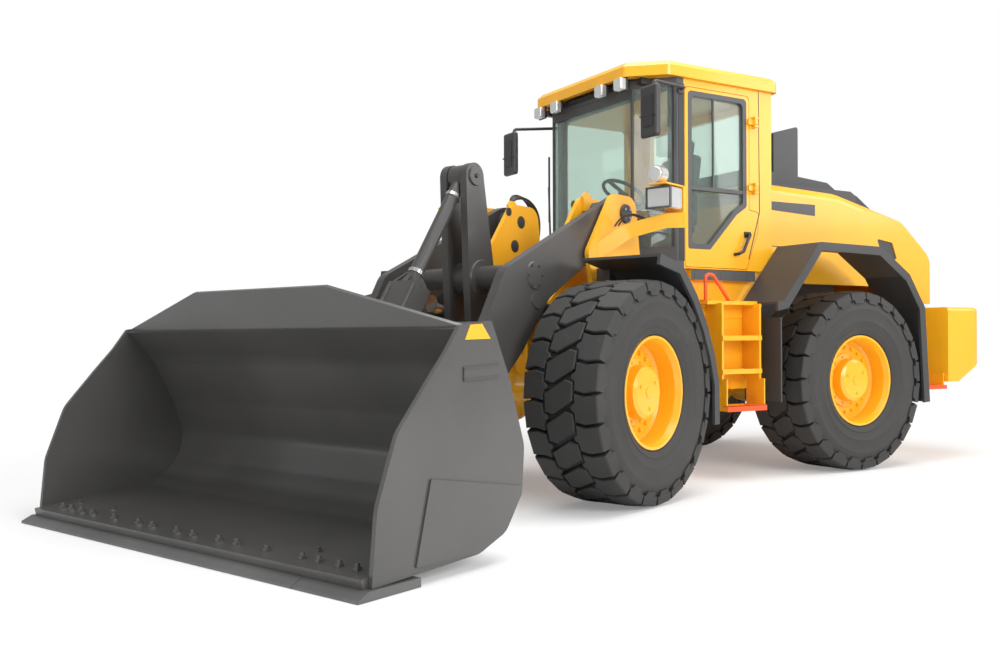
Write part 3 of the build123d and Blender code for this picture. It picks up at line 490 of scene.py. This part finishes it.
def crank_detail():
    """Round caps over the tilt lever's two bores, and the bolt in each end of the link's pin."""
    bm = bmesh.new()
    for hand in (1, -1):
        y = hand * 0.125
        add_cone(bm, (CRANK_TOP[0], y, CRANK_TOP[1]), (0, hand, 0), 0.07, 0.066, 0.014, 40)
        add_cone(bm, (CRANK_PIVOT[0], y, CRANK_PIVOT[1]), (0, hand, 0), 0.132, 0.126, 0.012, 48)
    place(bm, "crank_caps", "crank", "arm_grey", FRONT, smooth=40)
    bm = bmesh.new()
    for hand in (1, -1):
        add_cone(bm, (CRANK_TOP[0], hand * 0.139, CRANK_TOP[1]), (0, hand, 0), 0.018, 0.015, 0.012, 6)
    place(bm, "crank_pin_bolts", "link_carrier", "cylinder_black", FRONT, smooth=40)


def arm_detail():
    """Raised bosses on the arms' outer faces, with six bolts round the cross tube's end."""
    bm = bmesh.new()
    dark = bmesh.new()
    x, z = CRANK_PIVOT
    for hand in (1, -1):
        y = hand * ARM_FACE
        add_cone(bm, (x, y, z), (0, hand, 0), 0.098, 0.092, 0.010, 40)
        for k in range(6):
            a = math.pi * k / 3
            bolt = (x + 0.075 * math.cos(a), hand * (ARM_FACE + 0.009), z + 0.075 * math.sin(a))
            add_cone(bm, bolt, (0, hand, 0), 0.011, 0.010, 0.010, 6)
        add_cone(dark, (BUCKET_PIVOT[0], y, BUCKET_PIVOT[1]), (0, hand, 0), 0.10, 0.095, 0.004, 40)
        add_cone(bm, (LIFT_EYE[0], y, LIFT_EYE[1]), (0, hand, 0), 0.062, 0.058, 0.012, 32)
        add_cone(bm, (ARM_PIVOT[0], y, ARM_PIVOT[1]), (0, hand, 0), 0.12, 0.115, 0.008, 40)
    place(bm, "arm_bosses", "arms", "arm_grey", FRONT, smooth=40)
    place(dark, "arm_washers", "arms", "cylinder_black", FRONT, smooth=40)


def tower_detail():
    """Pin caps of the towers, black discs that paint the shade inside their round holes, the bolts in the
    caps and the lifting ears.
    """
    bm = bmesh.new()
    bolts = bmesh.new()
    for hand in (1, -1):
        y = hand * (TOWER_FACE + 0.012) - hand * 0.01
        add_cone(bm, (ARM_PIVOT[0], y, ARM_PIVOT[1]), (0, hand, 0), 0.075, 0.07, 0.016, 40)
        add_cone(bm, (LIFT_TAIL[0], y, LIFT_TAIL[1]), (0, hand, 0), 0.07, 0.066, 0.014, 32)
        # Painted shade: these thin black discs stand for the shade inside the towers' round holes
        for x, z, radius in ((1.15, 2.165, 0.035), (0.985, 2.093, 0.052), (1.07, 1.89, 0.052)):
            add_cone(bm, (x, hand * 0.32, z), (0, -hand, 0), radius, 0.034, 0.004, 32)
        for k in range(4):
            a = math.pi * (k + 0.5) / 2
            x = ARM_PIVOT[0] + 0.045 * math.cos(a)
            z = ARM_PIVOT[1] + 0.045 * math.sin(a)
            add_cone(bolts, (x, hand * (TOWER_FACE + 0.017), z), (0, hand, 0), 0.010, 0.009, 0.010, 6)
    place(bm, "tower_pin_caps_and_painted_hole_shade", "front_unit", "cylinder_black", FRONT, smooth=40)
    place(bolts, "tower_pin_bolts", "front_unit", "pin_steel", FRONT, smooth=40)
    bm = bmesh.new()
    ear = [(1.0, 2.12), (1.09, 2.12), (1.105, 2.23), (1.075, 2.265), (1.02, 2.262), (0.99, 2.225)]
    for hand in (1, -1):
        low, high = span(hand, 0.356, 0.38)
        add_plate(bm, ear, low, high)
    place(bm, "lifting_ears", "front_unit", "machine_yellow", FRONT)


def front_hoses():
    """Hoses from the hinge over the frame, in an arc by the right tower, and the lamps' wires."""
    for i in range(5):
        y = 0.17 + i * 0.026
        rise = 0.02 * (i % 3)
        hose("tower_hose_%d" % i, "front_unit", [
            (0.62, y, 1.45 + rise), (0.72, y, 1.86 + rise), (0.98, y, 1.99 + rise), (1.24, y, 1.93 + rise),
            (1.42, y, 1.80 + rise), (1.50, y, 1.60), (1.46, y, 1.42),
        ], 0.0115, FRONT)
    for i in range(3):
        y = -0.395 - i * 0.03
        hose("arc_hose_%d" % i, "front_unit", [
            (1.02 - i * 0.03, y, 2.16), (1.03 - i * 0.03, y, 2.27 + i * 0.012), (0.90, y, 2.315 + i * 0.014),
            (0.76, y, 2.30 + i * 0.012), (0.64, y, 2.20), (0.63, y, 2.02), (0.70, y + 0.01, 1.88),
        ], 0.011, FRONT)
    for i in range(2):
        y = 0.66 + i * 0.028
        hose("lamp_wire_%d" % i, "front_unit", [
            (1.10, y, 1.98), (1.07, y + 0.04, 2.06), (1.04, y + 0.12, 2.07), (1.02, y + 0.21, 2.02),
        ], 0.007, FRONT)


def lamp_detail():
    """Lenses and rims of the headlamps."""
    lens = bmesh.new()
    rim = bmesh.new()
    for hand in (1, -1):
        y = hand * LAMP_Y
        add_box(lens, (1.0885, 1.0935), (y - 0.085, y + 0.085), (2.10, 2.23))
        add_cone(lens, (1.104, hand * 1.01, 2.34), (1, 0, 0), 0.052, 0.046, 0.006, 36)
        for dy in (-0.1, 0.1):
            low, high = span(1, y + dy * 0.94, y + dy * 1.02)
            add_box(rim, (1.07, 1.098), (low, high), (2.09, 2.24))
        for z in (2.085, 2.236):
            add_box(rim, (1.07, 1.098), (y - 0.1, y + 0.1), (z, z + 0.008))
    place(lens, "headlamp_lenses", "front_unit", "lamp_clear", FRONT, smooth=40)
    place(rim, "headlamp_rims", "front_unit", "frame_grey", FRONT)


# Small pieces of the rear unit, in its own frame

def cab_detail():
    """Wiper, windscreen joints, door posts, door handle, pillar seams and the strips on the sills."""
    bm = bmesh.new()
    add_box(bm, (0.322, 0.34), (-0.585, -0.555), (1.93, 2.02))
    add_rod(bm, (0.335, -0.57, 1.98), (0.332, -0.60, 2.52), 0.009, 10)
    add_box(bm, (0.318, 0.33), (-0.612, -0.598), (2.20, 2.80))
    place(bm, "wiper", "rear_unit", "cylinder_black", REAR)
    bm = bmesh.new()
    for y in (-0.57, 0.57):
        add_box(bm, (0.288, 0.301), (y - 0.012, y + 0.012), (1.875, 3.165))
    add_box(bm, (0.30, 0.308), (-0.56, 0.56), (3.10, 3.168))
    place(bm, "screen_joints", "rear_unit", "frame_grey", REAR)
    bm = bmesh.new()
    add_box(bm, (-0.015, 0.045), (0.838, 0.853), (1.76, 3.19))
    add_box(bm, (-0.015, 0.045), (-0.853, -0.838), (1.76, 3.19))
    place(bm, "door_posts", "rear_unit", "cylinder_black", REAR)
    bm = bmesh.new()
    grip = [(-0.70, 0.893, 2.0), (-0.63, 0.893, 1.86), (-0.57, 0.893, 1.835), (-0.565, 0.852, 1.833)]
    add_rod(bm, (-0.72, 0.862, 2.005), grip[0], 0.016, 12)
    for start, end in zip(grip, grip[1:]):
        add_rod(bm, start, end, 0.013, 12)
    add_box(bm, (-0.745, -0.675), (0.849, 0.862), (1.98, 2.03))
    place(bm, "door_handle", "door", "cylinder_black", REAR, smooth=40)
    bm = bmesh.new()
    seam = [
        (-0.845, 3.235), (-0.853, 3.235), (-0.861, 2.203), (-0.735, 1.80), (-0.725, 1.80), (-0.851, 2.205),
    ]
    for hand in (1, -1):
        low, high = span(hand, 0.8495, 0.8515)
        add_plate(bm, seam, low, high)
    place(bm, "pillar_seams", "rear_unit", "cylinder_black", REAR)
    bm = bmesh.new()
    for hand in (1, -1):
        low, high = span(hand, 0.8623, 0.8655)
        add_box(bm, (-0.788, -0.072), (low, high), (1.61, 1.692))
        for x in (-0.70, -0.55, -0.40, -0.25, -0.12):
            low, high = span(hand, 0.8655, 0.8675)
            add_box(bm, (x, x + 0.01), (low, high), (1.62, 1.682))
    place(bm, "sill_strips", "rear_unit", "frame_grey", REAR)


def mirror_detail():
    """The mirrors' faces, their backs with a seam, and the joint on each arm."""
    glass_face = bmesh.new()
    back = bmesh.new()
    for hand in (1, -1):
        y = hand * MIRROR_Y
        add_box(glass_face, (0.4485, 0.4515), (y - 0.082, y + 0.082), (2.72, 3.04))
        add_box(back, (0.5055, 0.512), (y - 0.06, y + 0.06), (2.76, 3.0))
        add_box(back, (0.5055, 0.514), (y - 0.095, y + 0.095), (2.84, 2.85))
        add_rod(back, (0.44, hand * 1.03, 3.05), (0.44, hand * 1.03, 2.94), 0.022, 16)
    place(glass_face, "mirror_faces", "rear_unit", "pin_steel", REAR)
    place(back, "mirror_backs", "rear_unit", "cylinder_black", REAR)


def roof_detail():
    """Lenses and backs of the work lamps, the roof's corner pads and the dark visor."""
    lens = bmesh.new()
    rim = bmesh.new()
    for hand in (1, -1):
        for lamp_y in (0.33, 0.59):
            y = hand * lamp_y
            add_box(lens, (0.4645, 0.4675), (y - 0.042, y + 0.042), (3.148, 3.227))
            add_box(rim, (0.395, 0.409), (y - 0.054, y + 0.054), (3.136, 3.238))
        y = hand * 0.75
        add_box(lens, (-1.0575, -1.0545), (y - 0.042, y + 0.042), (3.148, 3.222))
        add_box(rim, (0.19, 0.30), span(hand, 0.64, 0.70), (3.19, 3.2395))
    place(lens, "work_lamp_lenses", "rear_unit", "lamp_clear", REAR)
    place(rim, "work_lamp_backs", "rear_unit", "cylinder_black", REAR)
    bm = bmesh.new()
    add_box(bm, (0.05, 0.33), (-0.5, 0.5), (3.205, 3.2395))
    place(bm, "roof_visor", "rear_unit", "interior_dark", REAR)


def hood_detail():
    """The bare dark band on each side of the hood and the thin seams below it."""
    bm = bmesh.new()
    for hand in (1, -1):
        low, high = span(hand, HOOD_HALF - 0.001, HOOD_HALF + 0.0035)
        add_plate(bm, [(-1.052, 2.262), (-1.052, 2.333), (-1.68, 2.338), (-1.68, 2.237)], low, high)
    place(bm, "hood_bands", "hood", "frame_grey", REAR)
    bm = bmesh.new()
    for hand in (1, -1):
        across = span(hand, HOOD_HALF - 0.001, HOOD_HALF + 0.001)
        add_box(bm, (-1.42, -1.06), across, (1.936, 1.944))
        add_box(bm, (-2.60, -1.42), across, (1.925, 1.929))
    place(bm, "hood_seams", "hood", "cylinder_black", REAR)


def rear_beacon():
    """The beacon on the hood and the flat red cover in front of it."""
    x, y = -2.78, 0.2
    bm = bmesh.new()
    add_cone(bm, (x, y, 2.38), (0, 0, 1), 0.035, 0.035, 0.10, 24)
    place(bm, "rear_beacon_stem", "hood", "cylinder_black", REAR, smooth=40)
    bm = bmesh.new()
    add_cone(bm, (x, y, 2.479), (0, 0, 1), 0.052, 0.045, 0.085, 32)
    add_box(bm, (-2.62, -2.28), (0.10, 0.42), (2.47, 2.50))
    place(bm, "rear_beacon_lens", "hood", "beacon_amber", REAR, smooth=40)


def rail_and_step_detail():
    """Orange edges of the lowest steps, the rails behind the doors and the steps at the tail."""
    for hand in (1, -1):
        turn = REAR @ Matrix.Scale(hand, 4, (0, 1, 0))
        side = "left" if hand > 0 else "right"
        bm = bmesh.new()
        add_box(bm, (-0.522, -0.094), (1.2455, 1.2505), (0.557, 0.602))
        add_box(bm, (-0.522, -0.094), (1.2, 1.2505), (0.598, 0.604))
        place(bm, "step_edge_" + side, "rear_unit", "rail_orange", turn)
        hose("side_rail_" + side, "rear_unit", [
            (-1.13, 0.86, 1.83), (-1.13, 0.90, 1.84), (-1.13, 0.905, 1.72), (-1.17, 0.905, 1.66),
            (-1.26, 0.905, 1.69), (-1.37, 0.90, 1.80), (-1.38, 0.86, 1.83),
        ], 0.011, turn, "rail_orange")
        bm = bmesh.new()
        add_box(bm, (-2.915, -2.64), (1.0, 1.19), (0.655, 0.69))
        place(bm, "rear_step_" + side, "rear_unit", "rail_orange", turn)
        bm = bmesh.new()
        for x in (-2.90, -2.66):
            add_box(bm, (x, x + 0.012), (1.02, 1.17), (0.68, 0.80))
        place(bm, "rear_step_straps_" + side, "rear_unit", "machine_yellow", turn)


bucket_detail()
link_detail()
crank_detail()
arm_detail()
tower_detail()
front_hoses()
lamp_detail()
cab_detail()
mirror_detail()
roof_detail()
hood_detail()
rear_beacon()
rail_and_step_detail()


# Stage, lights and camera

FLOOR_NEAR, FLOOR_FAR = 3.4, 6.6
FLOOR_LEAST = 0.22
LIGHT_LEVEL = 0.5


def white_rays(n, link):
    """1 for rays that should see the white background as it is, straight or through glass, else 0."""
    rays = n.new("ShaderNodeLightPath")
    most = n.new("ShaderNodeMath")
    most.operation = "MAXIMUM"
    link(rays.outputs["Is Camera Ray"], most.inputs[0])
    link(rays.outputs["Is Transmission Ray"], most.inputs[1])
    return most.outputs[0]


def paper(name):
    """A pale floor with the shadows near the machine that turns plain white further out."""
    m = bpy.data.materials.new(name)
    m.use_nodes = True
    n = m.node_tree.nodes
    link = m.node_tree.links.new
    shader = n["Principled BSDF"]
    shader.inputs["Base Color"].default_value = (0.9, 0.9, 0.9, 1)
    shader.inputs["Roughness"].default_value = 0.85
    place_node = n.new("ShaderNodeNewGeometry")
    length = n.new("ShaderNodeVectorMath")
    length.operation = "LENGTH"
    link(place_node.outputs["Position"], length.inputs[0])
    far = n.new("ShaderNodeMapRange")
    far.interpolation_type = "SMOOTHSTEP"
    far.inputs["From Min"].default_value = FLOOR_NEAR
    far.inputs["From Max"].default_value = FLOOR_FAR
    far.inputs["To Min"].default_value = FLOOR_LEAST
    far.inputs["To Max"].default_value = 1.0
    link(length.outputs["Value"], far.inputs["Value"])
    share = n.new("ShaderNodeMath")
    share.operation = "MULTIPLY"
    link(white_rays(n, link), share.inputs[0])
    link(far.outputs["Result"], share.inputs[1])
    glow = n.new("ShaderNodeEmission")
    glow.inputs["Strength"].default_value = 1.0
    mix = n.new("ShaderNodeMixShader")
    link(share.outputs[0], mix.inputs["Fac"])
    link(shader.outputs["BSDF"], mix.inputs[1])
    link(glow.outputs["Emission"], mix.inputs[2])
    link(mix.outputs["Shader"], n["Material Output"].inputs["Surface"])
    return m


bpy.ops.mesh.primitive_plane_add(size=120)
floor = bpy.context.object
floor.name = "floor"
floor.data.materials.append(paper("floor_paper"))

world = bpy.data.worlds.new("studio")
bpy.context.scene.world = world
world.use_nodes = True
wn = world.node_tree.nodes
wl = world.node_tree.links.new
background = wn["Background"]
background.inputs["Color"].default_value = (1, 1, 1, 1)
level = wn.new("ShaderNodeMapRange")
level.inputs["To Min"].default_value = LIGHT_LEVEL
level.inputs["To Max"].default_value = 1.0
wl(white_rays(wn, wl), level.inputs["Value"])
wl(level.outputs["Result"], background.inputs["Strength"])


def area(name, where, target, size, power):
    """A rectangular lamp that faces its target."""
    data = bpy.data.lights.new(name, "AREA")
    data.shape = "RECTANGLE"
    data.size, data.size_y = size
    data.energy = power
    ob = bpy.data.objects.new(name, data)
    bpy.context.scene.collection.objects.link(ob)
    ob.location = where
    ob.rotation_euler = (Vector(target) - Vector(where)).to_track_quat("-Z", "Y").to_euler()


area("overhead", (-0.5, 0.5, 9.0), (0, 0, 1), (9, 7), 760)
area("left_key", (-0.5, 10.5, 5.5), (0.5, 0, 1.2), (6, 4), 700)
area("front_fill", (10.0, 4.5, 4.0), (1.0, 0.0, 1.0), (4, 3), 200)
area("rear_fill", (-9.0, 5.0, 5.0), (-2.0, 0, 1.2), (5, 4), 240)

# The camera that was fitted to the photograph, whose focal length is in pixels
PHOTO_WIDTH = 1000.0
FOCAL_PIXELS = 983.74
SENSOR_WIDTH = 36.0
CAMERA_AT = Vector((5.3566, 6.9064, 1.1416))
yaw, pitch, roll = -2.1106, -0.0044, -0.0032
look = Vector((math.cos(pitch) * math.cos(yaw), math.cos(pitch) * math.sin(yaw), -math.sin(pitch)))
right = look.cross(Vector((0, 0, 1))).normalized()
up = right.cross(look)
r2 = right * math.cos(roll) + up * math.sin(roll)
u2 = up * math.cos(roll) - right * math.sin(roll)
camera = bpy.data.cameras.new("camera")
camera.sensor_width = SENSOR_WIDTH
camera.lens = FOCAL_PIXELS * SENSOR_WIDTH / PHOTO_WIDTH
camera_obj = bpy.data.objects.new("camera", camera)
bpy.context.scene.collection.objects.link(camera_obj)
basis = Matrix((r2, u2, -look)).transposed().to_4x4()
camera_obj.matrix_world = Matrix.Translation(CAMERA_AT + SHIFT) @ basis
bpy.context.scene.camera = camera_obj
bpy.context.scene.view_settings.view_transform = "Standard"
